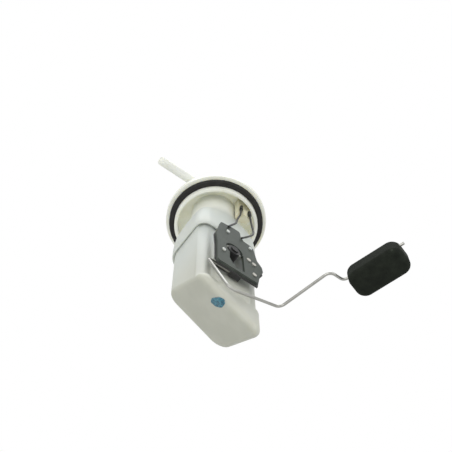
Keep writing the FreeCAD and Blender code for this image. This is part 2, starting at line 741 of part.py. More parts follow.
def make_pump():
    """The electric pump: can, end cap, chamber, impeller, rotor, magnets and brushes."""
    x, y = S.pump_x, S.pump_y
    made = []
    made.append(("pump_can", tube("pump_can", S.can_radius, S.can_radius - S.can_wall,
                                  S.can_bottom - S.can_top, x, y, -S.can_bottom)))
    inner = S.can_radius - S.can_wall - S.can_fit

    cap = cylinder("end_cap_body", inner, S.end_cap_bottom - S.can_top, x, y, -S.end_cap_bottom)
    cap_top = cylinder("end_cap_top", S.can_radius - 1, S.can_top - S.end_cap_top, x, y, -S.can_top)
    stub = cylinder("outlet_stub", S.nipple_radius, S.end_cap_top - S.outlet_tube_bottom + 7,
                    x, S.outlet_y, -S.end_cap_top - 1)
    valve_room = cylinder("valve_room", S.valve_bore, S.end_cap_bottom, x, S.outlet_y, -S.end_cap_bottom + 3)
    valve_way = cylinder("valve_way", 1.3, 6, x, S.outlet_y, -S.end_cap_bottom - 1)
    bearing = cylinder("top_bearing_bore", S.shaft_radius + S.bearing_play, 3, x, y, -S.end_cap_bottom - 0.5)
    made.append(("pump_end_cap", cut("pump_end_cap", fuse("end_cap_solid", cap, cap_top, stub),
                                     valve_room, valve_way, bearing)))

    chamber = cylinder("chamber_disc", inner, S.chamber_bottom - S.chamber_top + S.impeller_thickness / 2, x, y,
                       -S.chamber_bottom - S.impeller_thickness / 2)
    room_top = cylinder("chamber_room", S.impeller_radius + S.impeller_play, S.impeller_thickness / 2
                        + S.impeller_play, x, y, -S.chamber_bottom - S.impeller_thickness / 2)
    bore = cylinder("chamber_bore", S.shaft_radius + S.bearing_play, 20, x, y, -S.chamber_bottom - 5)
    way = cylinder("chamber_way", 1.6, 20, x + S.impeller_radius - 2.2, y, -S.chamber_bottom - 5)
    made.append(("chamber_plate", cut("chamber_plate", chamber, room_top, bore, way)))

    split = S.chamber_bottom + S.impeller_thickness / 2
    plate_low = cylinder("inlet_disc", inner, S.can_bottom - split, x, y, -S.can_bottom)
    flare = cylinder("inlet_flare", S.can_radius - 1, S.inlet_plate_bottom - S.can_bottom, x, y,
                     -S.inlet_plate_bottom)
    stub_in = cylinder("inlet_stub", S.inlet_stub_radius, S.inlet_stub_length, x + 6, y - 6,
                       -S.inlet_plate_bottom - S.inlet_stub_length)
    room_low = cylinder("inlet_room", S.impeller_radius + S.impeller_play, S.impeller_thickness / 2
                        + S.impeller_play, x, y, -split - S.impeller_thickness / 2 - S.impeller_play)
    foot_bore = cylinder("foot_bearing", S.shaft_radius + S.bearing_play, 8, x, y, -S.shaft_bottom - 0.3)
    way_in = cylinder("inlet_way", S.inlet_stub_radius - 1.2, 30, x + 6, y - 6,
                      -S.inlet_plate_bottom - S.inlet_stub_length - 1)
    made.append(("pump_inlet_plate", cut("pump_inlet_plate", fuse("inlet_solid", plate_low, flare, stub_in),
                                         room_low, foot_bore, way_in)))

    disc = cylinder("impeller_disc", S.impeller_radius, S.impeller_thickness, x, y,
                    -split - S.impeller_thickness / 2)
    hub_bore = cylinder("impeller_bore", S.shaft_radius, S.impeller_thickness, x, y,
                        -split - S.impeller_thickness / 2)
    gaps = vane_gaps(x, y, split)
    made.append(("impeller", cut("impeller", disc, hub_bore, gaps)))

    made.append(("rotor_shaft", cylinder("rotor_shaft", S.shaft_radius, S.shaft_bottom - S.shaft_top,
                                         x, y, -S.shaft_bottom)))
    core = tube("core_blank", S.core_radius, S.shaft_radius, S.core_bottom - S.core_top, x, y, -S.core_bottom)
    made.append(("armature_core", cut("armature_core", core, core_gaps(x, y))))
    made.append(("commutator", tube("commutator", S.commutator_radius, S.shaft_radius,
                                    S.commutator_bottom - S.commutator_top, x, y, -S.commutator_bottom)))
    magnets = []
    for i, start in enumerate((-1, 1)):
        ring = doc.addObject("Part::Cylinder", "magnet_blank_%d" % i)
        bind(ring, "Radius", inner)
        bind(ring, "Height", S.core_bottom - S.core_top)
        bind(ring, "Angle", S.magnet_arc)
        middle_angle = 90 * start
        turn = FreeCAD.Rotation(V(0, 0, 1), middle_angle - number(S.magnet_arc) / 2)
        place(ring, x, y, -S.core_bottom, turn)
        hollow = cylinder("magnet_hollow_%d" % i, inner - S.magnet_thickness, S.core_bottom - S.core_top,
                          x, y, -S.core_bottom)
        magnets.append(cut("magnet_%d" % i, ring, hollow))
    made.append(("magnets", group("magnets", *magnets)))
    brushes = []
    for i, side in enumerate((-1, 1)):
        low = S.commutator_bottom - 1
        reach = inner - S.commutator_radius - S.brush_play * 2
        left = x + S.commutator_radius + S.brush_play if side > 0 else x - inner + S.brush_play
        brushes.append(box("brush_%d" % i, reach, S.brush_side, S.brush_side, left, y - S.brush_side / 2, -low))
    made.append(("brushes", group("brushes", *brushes)))

    ring = tube("damper_ring", DAMPER_RADIUS, S.can_radius, S.damper_height, x, y,
                -S.damper_top - S.damper_height)
    made.append(("pump_damper", ring))
    made.append(("outlet_tube", tube("outlet_tube", S.nipple_radius + S.outlet_tube_wall, S.nipple_radius,
                                     S.outlet_tube_bottom - S.outlet_tube_top, x, S.outlet_y,
                                     -S.outlet_tube_bottom)))
    return made


def vane_gaps(x, y, split):
    """The gaps between the impeller's vanes, as one cutting shape."""
    count = int(number(S.vane_count))
    width = number(S.impeller_radius) * math.pi / count
    pieces = []
    for i in range(count):
        gap = Part.makeBox(3.2, width, number(S.impeller_thickness) * 2,
                           V(number(S.impeller_radius) - 2.6, -width / 2, -number(split) - number(S.impeller_thickness)))
        gap.rotate(V(0, 0, 0), V(0, 0, 1), 360 * i / count)
        gap.translate(V(number(x), number(y), 0))
        pieces.append(gap)
    return feature("vane_gaps", Part.makeCompound(pieces))


def core_gaps(x, y):
    """The winding slots of the armature core, as one cutting shape."""
    count = int(number(S.core_slots))
    width = number(S.core_slot_width)
    depth = number(S.core_slot_depth)
    pieces = []
    for i in range(count):
        gap = Part.makeBox(depth + 1, width, 200, V(number(S.core_radius) - depth, -width / 2, -150))
        gap.rotate(V(0, 0, 0), V(0, 0, 1), 360 * i / count)
        gap.translate(V(number(x), number(y), 0))
        pieces.append(gap)
    return feature("core_gaps", Part.makeCompound(pieces))


def make_check_valve():
    """The outlet check valve: a poppet on its seat, held down by a spring."""
    seat = -S.end_cap_bottom + 3
    stem = cylinder("check_head", S.check_radius, 2, S.pump_x, S.outlet_y, seat)
    nose = cone("check_nose", S.check_radius * 0.5, S.check_radius * 0.3, 4, S.pump_x, S.outlet_y, seat + 2)
    valve = fuse("check_valve", stem, nose)
    guide_low = S.outlet_tube_bottom + 5.5
    guide = tube("check_guide", S.valve_bore, S.check_radius - 0.4, 2, S.pump_x, S.outlet_y, -guide_low)
    spring = coil("check_spring", S.check_radius - 0.5, S.spring_wire, guide_low,
                  S.end_cap_bottom - 5, 4, S.pump_x, S.outlet_y)
    return [("check_valve", valve), ("check_spring", spring), ("check_guide", guide)]


def make_regulator():
    """The pressure regulator under the flange: can, seat, valve, spring and seal."""
    x, y = S.pump_x, S.regulator_y
    height = S.regulator_bottom - S.regulator_top
    can = cylinder("regulator_outside", S.regulator_radius, height, x, y, -S.regulator_bottom)
    room = cylinder("regulator_room", S.regulator_radius - S.regulator_wall, height - S.regulator_wall - 3,
                    x, y, -S.regulator_bottom + S.regulator_wall)
    port = cylinder("regulator_port", 1.6, 60, x, y, -S.regulator_bottom - 1)
    groove = cut("seal_groove",
                 cylinder("groove_outside", S.regulator_radius + 1, S.regulator_seal, x, y, -S.regulator_top - 2.6),
                 cylinder("groove_inside", S.regulator_radius - S.regulator_seal / 2, S.regulator_seal + 1, x, y,
                          -S.regulator_top - 3))
    body = cut("regulator_body", can, room, port, groove)
    half = S.regulator_seal / 2
    seal = place(revolved("regulator_oring", [
        (S.regulator_radius - half, -half), (S.regulator_radius + half, -half / 2),
        (S.regulator_radius + half, half / 2), (S.regulator_radius - half, half),
    ]), x, y, -S.regulator_top - 2.6 + half)
    seat_z = -S.regulator_top - 3
    valve = fuse("regulator_valve",
                 cylinder("valve_disc", S.regulator_radius - S.regulator_wall - 0.4, 1.2, x, y, seat_z - 1.2),
                 cylinder("valve_guide", 1.2, 4, x, y, seat_z - 5))
    spring = coil("regulator_spring", 3.6, S.spring_wire * 1.4, S.regulator_top + 4.2 + 0.05,
                  S.regulator_bottom - S.regulator_wall - 0.05, 5, x, y)
    return [("regulator_body", body), ("regulator_oring", seal), ("regulator_valve", valve),
            ("regulator_spring", spring)]


def make_strainer():
    """The intake strainer in the boot: a rim with ribs and an inlet collar, and its mesh."""
    x, y = STRAINER_X, STRAINER_Y
    rim = S.strainer_rim
    low = -S.strainer_top - S.strainer_height
    block = middle_box("strainer_block", S.strainer_length, S.strainer_width, S.strainer_height, x, y, low)
    frame_round = rounded("strainer_round", block, 4, is_vertical)
    window = middle_box("strainer_window", S.strainer_length - rim * 2, S.strainer_width - rim * 2,
                        S.strainer_height + 2, x, y, low - 1)
    ring = cut("strainer_ring", frame_round, window)
    ribs = [
        middle_box("strainer_rib_%d" % i, rim, S.strainer_width - rim, S.strainer_height,
                   x + S.strainer_length * (i - 1) / 4, y, low)
        for i in range(3)
    ]
    roof = middle_box("strainer_roof", S.strainer_length - rim, S.strainer_width - rim, 1.2, x, y,
                      -S.strainer_top - 1.2)
    pump_in_x = S.pump_x + 6
    pump_in_y = S.pump_y - 6
    stub_end = S.inlet_plate_bottom + S.inlet_stub_length
    collar = cylinder("strainer_collar", S.inlet_stub_radius + 1.4, S.strainer_top - S.inlet_plate_bottom - 0.4,
                      pump_in_x, pump_in_y, -S.strainer_top)
    mouth = cylinder("strainer_mouth", S.inlet_stub_radius + 0.05, S.strainer_top - S.inlet_plate_bottom,
                     pump_in_x, pump_in_y, -S.strainer_top + 0.6)
    throat = cylinder("strainer_throat", S.inlet_stub_radius - 1.2, 30, pump_in_x, pump_in_y,
                      -S.strainer_top - 2)
    frame = cut("strainer_frame", fuse("strainer_solid", ring, roof, collar, *ribs), mouth, throat)
    mesh = middle_box("strainer_mesh", S.strainer_length - rim, S.strainer_width - rim, 0.4, x, y,
                      low - 0.4)
    return [("strainer_frame", frame), ("strainer_mesh", mesh)]


PLATE_OUTLINE = [
    (-19, -124.8), (-19.5, -102), (-20.5, -88.5), (-17, -69), (-6.5, -67), (-0.5, -66.5), (0.5, -74.5),
    (3.2, -77.4), (8.2, -77.5), (11.2, -80), (14, -94), (18, -99.5), (18.8, -105.5), (16, -111.5), (14, -124.5),
]
WINDOW_OUTLINE = [(-9, -100), (2, -100), (3, -121), (-5.5, -121), (-9.5, -113)]


def make_sender_plate():
    """The grey sender plate: an outline with a window for the hub and holes for the stakes."""
    body = new_body("sender_plate")
    outline = sketch_on(body, "plate_outline", "XZ_Plane", PLATE_BACK)
    polygon(outline, PLATE_OUTLINE)
    pad(body, "plate_pad", outline, S.plate_thickness)
    holes = sketch_on(body, "plate_holes", "XZ_Plane", PLATE_BACK)
    for x, z in POSTS:
        circle(holes, x, z, S.stake_radius)
    doc.recompute()
    pocket = body.newObject("PartDesign::Pocket", "plate_hole_cut")
    pocket.Profile = holes
    pocket.Type = 1
    pocket.Reversed = True
    hub = cylinder("hub_window_cut", S.hub_window, S.plate_thickness + 4, S.pivot_x, -PLATE_BACK + 2,
                   S.pivot_z, TO_FRONT)
    window = new_body("plate_window")
    window_sketch = sketch_on(window, "window_outline", "XZ_Plane", PLATE_BACK - 2)
    polygon(window_sketch, WINDOW_OUTLINE)
    pad(window, "window_pad", window_sketch, S.plate_thickness + 4)
    edges_round = rounded("plate_round", body, 2.2, is_along_y_convex)
    slots = rivet_holes()
    return cut("sender_plate_cut", edges_round, hub, window, *slots)


FRAME_OUTLINE = [
    (-17, -125.6), (-19.9, -121), (-20.3, -102), (-21.2, -89), (-20.6, -86), (12.6, -86), (14.9, -93.5),
    (18.9, -99), (19.8, -105.6), (16.9, -112), (14.9, -125.6),
]
FRAME_OPENING = [(-16.9, -120.5), (-17.4, -89), (9.8, -89), (12, -95), (14.2, -100), (14.2, -120.5)]


def make_sender_frame():
    """The black frame behind the sender plate, open over the lever's sweep."""
    body = new_body("sender_frame")
    back = PLATE_BACK - S.frame_thickness
    outline = sketch_on(body, "frame_outline", "XZ_Plane", back)
    polygon(outline, FRAME_OUTLINE)
    polygon(outline, FRAME_OPENING)
    pad(body, "frame_pad", outline, S.frame_thickness)
    return body


def is_along_y_convex(edge):
    """Whether an edge of the plate's outline runs through its thickness at an outer corner."""
    if not isinstance(edge.Curve, Part.Line):
        return False
    if abs(abs(edge.tangentAt(edge.FirstParameter).y) - 1) > 1e-6:
        return False
    x, z = edge.CenterOfMass.x, edge.CenterOfMass.z
    return any(abs(x - px) + abs(z - pz) < 0.1 for px, pz in PLATE_OUTLINE)


RIVETS = [(10.8, -102.5), (10.8, -116.5), (6.4, -100.7)]


def rivet_holes():
    """The rivet holes of the sender plate."""
    return [
        cylinder("rivet_hole_%d" % i, S.rivet_radius, S.plate_thickness + 4, x, -PLATE_BACK + 2, z, TO_FRONT)
        for i, (x, z) in enumerate(RIVETS)
    ]


def make_sender():
    """The sender: resistor card, rivets, pivot pin, arm holder and wiper."""
    back = -PLATE_BACK
    card_solid = box("card_blank", S.card_right - S.card_left, S.card_thickness, S.card_bottom - S.card_top,
                     S.card_left, back, -S.card_bottom)
    card_holes = [
        cylinder("card_hole_%d" % i, S.rivet_radius, 6, x, back + 3, z, TO_FRONT)
        for i, (x, z) in enumerate(RIVETS)
    ]
    card = cut("resistor_card", card_solid, *card_holes)
    rivets = []
    for i, (x, z) in enumerate(RIVETS):
        shank = cylinder("rivet_shank_%d" % i, S.rivet_radius, S.card_thickness + S.plate_thickness
                         + S.rivet_head, x, back + S.card_thickness, z, TO_FRONT)
        head = cylinder("rivet_head_%d" % i, S.rivet_radius * 1.6, S.rivet_head, x,
                        back - S.plate_thickness, z, TO_FRONT)
        rivets.append(fuse("rivet_%d" % i, shank, head))
    pin_front = PLATE_BACK + S.plate_thickness + 1.2
    wall_back = WALL_FRONT - S.body_wall - S.boss_inside
    pin = fuse("pivot_pin",
               cylinder("pin_shank", S.pivot_radius, pin_front - wall_back, S.pivot_x, -wall_back,
                        S.pivot_z, TO_FRONT),
               cylinder("pin_head", S.pivot_radius * 2, 0.8, S.pivot_x, -pin_front + 0.8, S.pivot_z, TO_FRONT))
    hub_front = PLATE_BACK + S.plate_thickness
    hub = cylinder("holder_hub", S.hub_radius, hub_front - LEVER_BACK, S.pivot_x, -LEVER_BACK,
                   S.pivot_z, TO_FRONT)
    blade = box("holder_blade", S.lever_width, S.lever_thickness, S.lever_drop,
                S.pivot_x - S.lever_width / 2, -LEVER_BACK - S.lever_thickness, S.pivot_z - S.lever_drop)
    socket_low = S.pivot_z - S.lever_drop - S.holder_side / 2
    socket = box("holder_socket", S.holder_side, S.holder_thickness, S.holder_side,
                 S.pivot_x + S.holder_shift - S.holder_side / 2, -LEVER_BACK - S.holder_thickness, socket_low)
    bar = box("holder_bar", 8, S.holder_thickness, 6.4, S.pivot_x - 10, -LEVER_BACK - S.holder_thickness,
              S.pivot_z - S.lever_drop - 1.6)
    bore = cylinder("holder_bore", S.pivot_radius + 0.05, 20, S.pivot_x, -LEVER_BACK + 1, S.pivot_z, TO_FRONT)
    holder_solid = fuse("holder_solid", hub, blade, socket, bar)
    wire_room = feature("wire_room", arm_wire_shape(number(S.wire_radius)))
    holder = cut("arm_holder", holder_solid, bore, wire_room)
    wiper_front = -LEVER_BACK - S.lever_thickness
    foot = box("wiper_foot", 4, 0.3, 8, S.pivot_x - 2, wiper_front - 0.3, S.pivot_z - S.wiper_drop - 2)
    finger = box("wiper_finger", S.wiper_reach + 2, 0.3, 1.6, S.pivot_x - 2, wiper_front - 0.3,
                 S.pivot_z - S.wiper_drop - 0.8)
    tip = cylinder("wiper_tip", 0.8, PLATE_BACK - S.card_thickness + wiper_front - 0.05,
                   S.pivot_x + S.wiper_reach, wiper_front, S.pivot_z - S.wiper_drop, TO_FRONT)
    wiper = fuse("wiper", foot, finger, tip)
    return [("resistor_card", card), ("sender_rivets", group("sender_rivets", *rivets)),
            ("pivot_pin", pin), ("arm_holder", holder), ("wiper", wiper)]


def arm_points():
    """The corners of the float arm's wire, from the holder to the tip beyond the float."""
    back = -number(WIRE_BACK)
    front = -number(WIRE_FRONT)
    x = number(S.pivot_x)
    z = number(S.pivot_z)
    offset = number(S.float_offset)
    start = V(x + number(S.wire_start_reach), back, z - number(S.wire_start_drop))
    hairpin = V(x - number(S.hairpin_reach), back, z - number(S.hairpin_drop))
    low = V(x - number(S.low_bend_reach), front, z - number(S.low_bend_drop))
    elbow = V(x + number(S.elbow_reach), front, z - number(S.elbow_drop))
    outer = elbow + V(number(S.offset_slant) * offset, -offset, 0)
    turn = outer + V(number(S.outer_run), 0, 0)
    along = float_axis()
    tip = turn + along * (number(S.float_from_bend) + number(S.float_length) + number(S.wire_tip))
    return [start, hairpin, low, elbow, outer, turn, tip]


def float_axis():
    """The direction of the wire through the float."""
    return V(number(S.float_slant), -1, 0).normalize()


def arm_wire_shape(radius):
    """The float arm's wire as a solid of a given radius."""
    bend = number(S.wire_bend)
    return bent_wire(arm_points(), [number(S.wire_hairpin), bend, bend, bend, bend * 0.8], radius)


def make_arm():
    """The float arm's wire and the float on its last run."""
    wire = feature("float_arm", arm_wire_shape(number(S.wire_radius)))
    points = arm_points()
    along = float_axis()
    centre = points[-2] + along * (number(S.float_from_bend) + number(S.float_length) / 2)
    turn = FreeCAD.Rotation(V(0, -1, 0), along)
    length, width, height = (number(S.float_width), number(S.float_length), number(S.float_height))
    block = Part.makeBox(length, width, height, V(-length / 2, -width / 2, -height / 2))
    corners = [e for e in block.Edges if is_vertical(e)]
    block = block.makeFillet(number(S.float_corner), corners)
    rims = [e for e in block.Edges if all(abs(abs(v.Point.z) - height / 2) < 1e-6 for v in e.Vertexes)]
    block = block.makeFillet(number(S.float_edge), rims)
    block.translate(V(number(S.float_shift), 0, -number(S.float_sink)))
    bore = Part.makeCylinder(number(S.wire_radius) + number(S.float_play), width * 2, V(0, -width, 0), V(0, 1, 0))
    block = block.cut(bore)
    float_piece = feature("float", block)
    float_piece.Placement = FreeCAD.Placement(centre, turn)
    return [("float_arm", wire), ("float", float_piece)]


LEAD_FRONT = -number(PLATE_BACK + S.plate_thickness + S.lead_radius) - 0.05
CRIMP_FRONT = number(S.terminal_y - S.block_width / 2 - S.crimp_radius)
LEAD_ROUTES = {
    "sender_lead_left": [(5.3, CRIMP_FRONT, -15), (4.5, CRIMP_FRONT, -25), (0, -28, -40), (-3.5, -31, -56),
                         (-8.5, LEAD_FRONT, -66), (-11, LEAD_FRONT, -71)],
    "sender_lead_right": [(13.7, CRIMP_FRONT, -16), (14.5, CRIMP_FRONT, -27), (15, -28, -44), (13, -30, -54),
                          (6, LEAD_FRONT, -68), (0.5, LEAD_FRONT, -76)],
}


def make_leads():
    """The two sender leads, from crimps at the terminal block to the plate."""
    made = []
    crimps = []
    for name, route in LEAD_ROUTES.items():
        points = [V(*p) for p in route]
        bends = []
        for i in range(1, len(points) - 1):
            before = points[i] - points[i - 1]
            after = points[i + 1] - points[i]
            half = before.getAngle(after) / 2
            bends.append(0.45 * min(before.Length, after.Length) / math.tan(half))
        made.append((name, feature(name, bent_wire(points, bends, number(S.lead_radius)))))
        first = points[0]
        up = (first - points[1]).normalize()
        crimps.append(feature(name + "_crimp", Part.makeCylinder(
            number(S.crimp_radius), number(S.crimp_length), first, up)))
    made.append(("lead_crimps", group("lead_crimps", *crimps)))
    return made


def build():
    """Makes every piece and returns the nodes by name."""
    nodes = {
        "flange": make_flange(),
        "flange_gasket": make_gasket(),
        "connector_terminals": make_terminals(),
        "terminal_block": make_terminal_block(),
        "housing_cap": make_cap(),
        "reservoir": make_reservoir(),
        "sender_plate": make_sender_plate(),
        "sender_frame": make_sender_frame(),
    }
    for maker in (make_pump, make_check_valve, make_regulator, make_strainer, make_sender, make_arm, make_leads):
        nodes.update(dict(maker()))
    return nodes


nodes = build()
doc.recompute()
for obj in doc.Objects:
    if "Invalid" in obj.State or "Error" in obj.State:
        raise RuntimeError("failed object: " + obj.Name)
os.makedirs("parts", exist_ok=True)
for node, obj in nodes.items():
    obj.Label = node
    shape = obj.Shape
    if shape.isNull() or not shape.isValid():
        raise RuntimeError("bad shape: " + node)
    shape.exportStep("parts/" + node + ".step")
    print(node, len(shape.Solids), round(shape.Volume, 1))
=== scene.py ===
import json
import math
import bmesh
import bpy
from mathutils import Matrix, Vector
from mathutils.bvhtree import BVHTree


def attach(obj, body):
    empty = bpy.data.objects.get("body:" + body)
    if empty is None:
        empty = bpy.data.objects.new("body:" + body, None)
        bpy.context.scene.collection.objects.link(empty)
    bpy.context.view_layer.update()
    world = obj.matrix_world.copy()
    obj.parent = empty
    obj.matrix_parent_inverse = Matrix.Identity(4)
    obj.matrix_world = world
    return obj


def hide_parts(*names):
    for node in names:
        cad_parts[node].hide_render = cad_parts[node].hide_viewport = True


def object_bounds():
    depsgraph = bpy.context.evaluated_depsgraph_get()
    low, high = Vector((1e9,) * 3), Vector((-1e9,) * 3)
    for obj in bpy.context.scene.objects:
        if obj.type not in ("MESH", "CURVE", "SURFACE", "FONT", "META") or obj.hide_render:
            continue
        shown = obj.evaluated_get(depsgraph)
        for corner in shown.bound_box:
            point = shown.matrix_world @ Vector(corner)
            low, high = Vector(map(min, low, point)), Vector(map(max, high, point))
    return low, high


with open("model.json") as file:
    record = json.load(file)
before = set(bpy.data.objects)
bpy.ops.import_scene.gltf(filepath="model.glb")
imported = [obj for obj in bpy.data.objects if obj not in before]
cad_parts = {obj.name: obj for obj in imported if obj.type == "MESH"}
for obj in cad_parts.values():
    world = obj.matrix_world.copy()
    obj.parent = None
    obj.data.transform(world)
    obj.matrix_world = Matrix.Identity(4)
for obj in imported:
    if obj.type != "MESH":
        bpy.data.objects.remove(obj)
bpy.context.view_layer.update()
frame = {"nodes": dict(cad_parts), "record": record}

# In-tank fuel pump module with a level sender, in metres, in the CAD frame.
# +Z is up out of the tank, -Y is out of the sender's face, +X is the float's side.

MM = 0.001
SOLE_SLOPE_RIGHT = 0.6
SOLE_SLOPE_BACK = 0.79
SOLE_DEPTH = 142.8 * MM
SHARP_ANGLE = math.radians(35)


class Socket:
    """A shader socket that arithmetic can be written on."""

    def __init__(self, recipe, socket):
        self.recipe = recipe
        self.socket = socket

    def maths(self, operation, *values):
        return self.recipe.node("ShaderNodeMath", {"operation": operation}, dict(enumerate(values)))

    def __add__(self, other):
        return self.maths("ADD", self, other)

    def __radd__(self, other):
        return self.maths("ADD", other, self)

    def __sub__(self, other):
        return self.maths("SUBTRACT", self, other)

    def __mul__(self, other):
        return self.maths("MULTIPLY", self, other)

    def sine(self):
        return self.maths("SINE", self)

    def between(self, low, high):
        """The value run smoothly from low to high onto zero to one."""
        settings = {"interpolation_type": "SMOOTHSTEP"}
        return self.recipe.node("ShaderNodeMapRange", settings, {0: self, 1: low, 2: high})


class Recipe:
    """A procedural material that is built node by node."""

    def __init__(self, name):
        self.material = bpy.data.materials.new(name)
        self.material.use_nodes = True
        self.tree = self.material.node_tree
        self.tree.nodes.clear()
        self.place = self.node("ShaderNodeTexCoord", {}, {}, "Object")

    def node(self, kind, settings, sockets, out=0):
        """Adds a node, with its settings first and then the values or links of its sockets."""
        made = self.tree.nodes.new(kind)
        for key, value in settings.items():
            setattr(made, key, value)
        for key, value in sockets.items():
            if isinstance(value, Socket):
                self.tree.links.new(value.socket, made.inputs[key])
            else:
                made.inputs[key].default_value = value
        return Socket(self, made.outputs[out])

    def noise(self, scale, detail=3.0, roughness=0.55, place=None):
        """Even cloudy noise, with a scale in features to the metre."""
        sockets = {"Vector": place or self.place, "Scale": scale, "Detail": detail, "Roughness": roughness}
        return self.node("ShaderNodeTexNoise", {}, sockets)

    def cells(self, scale):
        """Distance to the nearest of many scattered points."""
        return self.node("ShaderNodeTexVoronoi", {}, {"Vector": self.place, "Scale": scale})

    def stretched(self, scale):
        """The object's coordinates, scaled along each axis."""
        sockets = {"Vector": self.place, "Scale": scale}
        return self.node("ShaderNodeMapping", {"vector_type": "POINT"}, sockets)

    def parts(self):
        """The x, y and z of the object's coordinates."""
        split = self.node("ShaderNodeSeparateXYZ", {}, {0: self.place})
        outputs = split.socket.node.outputs
        return [Socket(self, outputs[i]) for i in range(3)]

    def blend(self, mask, low, high):
        """One colour where the mask is zero and the other where it is one."""
        return self.node("ShaderNodeMix", {"data_type": "RGBA"}, {0: mask, 6: low, 7: high}, 2)

    def bump(self, height, depth, strength=1.0, under=None):
        """Raises the surface by the height, up to a depth in metres."""
        sockets = {"Height": height, "Distance": depth, "Strength": strength}
        if under:
            sockets["Normal"] = under
        return self.node("ShaderNodeBump", {}, sockets)

    def pointiness(self):
        """Lighter on worn outer edges."""
        return self.node("ShaderNodeNewGeometry", {}, {}, "Pointiness")

    def finish(self, colour, roughness, normal=None, metallic=0.0, **fixed):
        """Joins everything to the surface and gives the material."""
        sockets = {"Base Color": colour, "Roughness": roughness, "Metallic": metallic}
        if normal:
            sockets["Normal"] = normal
        for key, value in fixed.items():
            sockets[key.replace("_", " ").title().replace("Ior", "IOR")] = value
        shader = self.node("ShaderNodeBsdfPrincipled", {}, sockets)
        end = self.tree.nodes.new("ShaderNodeOutputMaterial")
        self.tree.links.new(shader.socket, end.inputs[0])
        return self.material


def grey(level, warm=0.0):
    """A grey of a level, warmer or cooler."""
    return (level * (1 + warm), level, level * (1 - warm), 1)


def milky_resin():
    """Natural acetal: cool on the thick walls, beige at the foot, painted light as brighter cream at the
    flange and painted shade as darker beige on the sole.
    """
    r = Recipe("milky_resin")
    x, y, z = r.parts()
    # Mask of the flange: it carries the flange's painted light and also keeps the stain to the flange.
    flange = z.between(-0.026, -0.012)
    foot = z.between(-0.075, -0.140)
    # Mask of the downward-facing sole, which is given painted shade.
    sole_shade_mask = (z + x * SOLE_SLOPE_RIGHT - y * SOLE_SLOPE_BACK).between(-0.1385, -0.1425)
    clouds = r.noise(55, 3)
    flow = r.noise(1, 4, 0.6, r.stretched((260, 260, 22)))
    tone = r.blend(foot, (0.575, 0.610, 0.575, 1), (0.530, 0.535, 0.470, 1))
    # Painted shade: the sole faces down, away from the light, and is made a darker beige.
    tone = r.blend(sole_shade_mask, tone, (0.455, 0.460, 0.395, 1))
    # Painted light: the flange is made brighter cream, standing for light that shines through the thin
    # milky flange.
    tone = r.blend(flange, tone, (0.880, 0.890, 0.800, 1))
    tone = r.blend(clouds.between(0.35, 0.75) * 0.22, tone, (0.66, 0.66, 0.59, 1))
    scuff = r.noise(900, 5, 0.7).between(0.62, 0.72) * r.noise(70, 2).between(0.5, 0.65)
    tone = r.blend(scuff * 0.35, tone, (0.44, 0.43, 0.38, 1))
    stain = r.noise(38, 5, 0.65).between(0.55, 0.72) * flange
    tone = r.blend(stain * 0.45, tone, (0.70, 0.66, 0.47, 1))
    grain = r.noise(2600, 2)
    normal = r.bump(grain, 0.00003, 0.5)
    normal = r.bump(flow, 0.00025, 0.35, normal)
    return r.finish(tone, 0.34 + clouds * 0.14 + scuff * 0.15, normal, subsurface_weight=0.5,
                    subsurface_radius=(1.0, 0.95, 0.8), subsurface_scale=0.006, ior=1.48)


def gasket_rubber():
    """Black rubber with a fine bloom and dust."""
    r = Recipe("gasket_rubber")
    shade = 0.018
    bloom = r.noise(180, 4)
    dust = r.noise(2400, 3, 0.7).between(0.66, 0.78)
    tone = r.blend(bloom.between(0.3, 0.8) * 0.5, grey(shade, 0.03), grey(shade * 2.2, 0.02))
    tone = r.blend(dust * 0.25, tone, grey(0.16, 0.05))
    normal = r.bump(r.noise(1500, 3), 0.00006, 0.6)
    return r.finish(tone, 0.55 + bloom * 0.2, normal, specular_ior_level=0.25)


def grey_resin():
    """The sender plate: dark glass-filled resin with a satin skin and fine fibres in it."""
    r = Recipe("grey_resin")
    fibres = r.noise(1, 3, 0.7, r.stretched((4200, 4200, 900)))
    clouds = r.noise(140, 3)
    tone = r.blend(clouds.between(0.3, 0.75), (0.044, 0.053, 0.045, 1), (0.070, 0.082, 0.071, 1))
    tone = r.blend(fibres.between(0.60, 0.78) * 0.4, tone, (0.13, 0.145, 0.13, 1))
    return r.finish(tone, 0.38 + clouds * 0.25, r.bump(fibres, 0.00004, 0.5), specular_ior_level=0.35)


def black_resin():
    """Black acetal with moulding grain and rubbed edges."""
    r = Recipe("black_resin")
    clouds = r.noise(220, 3)
    worn = r.pointiness().between(0.52, 0.60)
    tone = r.blend(clouds.between(0.3, 0.8), grey(0.012), grey(0.028))
    tone = r.blend(worn * 0.4, tone, grey(0.10))
    normal = r.bump(r.noise(3000, 2), 0.00003, 0.5)
    return r.finish(tone, 0.40 + clouds * 0.2, normal, specular_ior_level=0.3)


def float_foam():
    """Closed-cell nitrile foam: near black, pitted, with painted shade in the pits and paler rubbed edges.
    """
    r = Recipe("float_foam")
    pits = r.cells(1500)
    coarse = r.noise(160, 4)
    worn = r.pointiness().between(0.50, 0.56)
    tone = r.blend(coarse.between(0.3, 0.75), (0.007, 0.009, 0.006, 1), (0.016, 0.020, 0.014, 1))
    # Painted shade: the bottoms of the pits are made darker, where shade falls.
    tone = r.blend(pits.between(0.25, 0.05) * 0.5, tone, (0.004, 0.005, 0.004, 1))
    tone = r.blend(worn * 0.30, tone, (0.075, 0.085, 0.070, 1))
    normal = r.bump(pits.between(0.0, 0.35), 0.00018, 0.7)
    return r.finish(tone, 0.66 + coarse * 0.2, r.bump(coarse, 0.0003, 0.5, normal), specular_ior_level=0.15)


